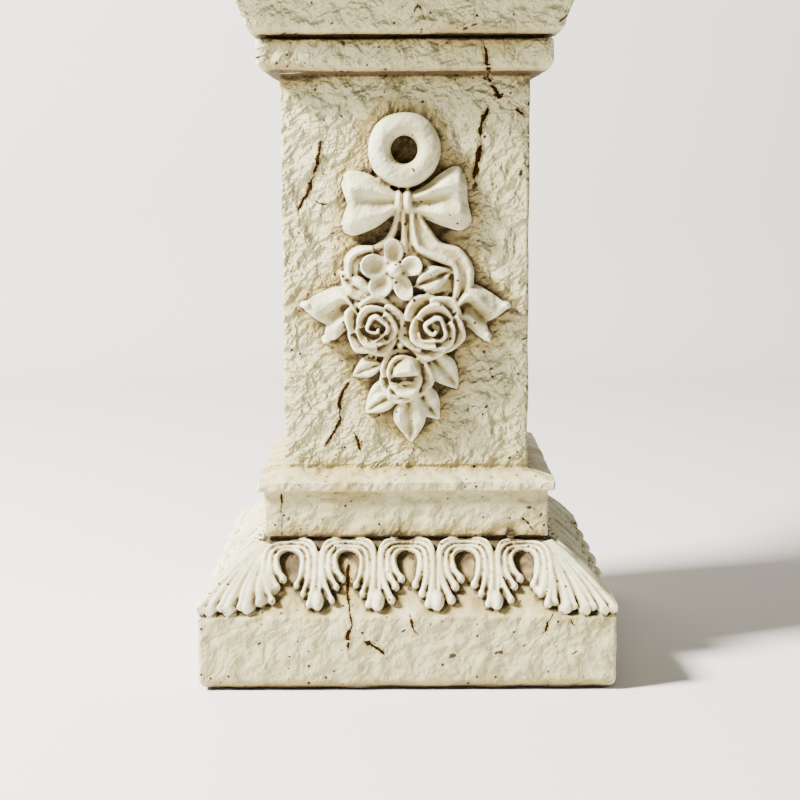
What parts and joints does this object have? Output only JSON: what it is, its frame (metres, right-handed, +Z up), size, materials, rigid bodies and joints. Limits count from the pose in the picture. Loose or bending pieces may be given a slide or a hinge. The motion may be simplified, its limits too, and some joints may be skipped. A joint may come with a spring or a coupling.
{
  "type": "column pedestal",
  "caption": "Small square column pedestal in ivory cast resin, with a leaf-carved base and a hanging drop of roses and ribbon on its front.",
  "frame": {"origin": "middle of the underside, on the surface that the pedestal stands on", "axes": "+Z up, the carved front towards -Y, +X to the right of the front"},
  "size_m": [0.16, 0.16, 0.292],
  "materials": {
    "cast_resin": "matte"
  },
  "bodies": {
    "root": {"column_pedestal": "cast_resin"}
  },
  "joints": []
}
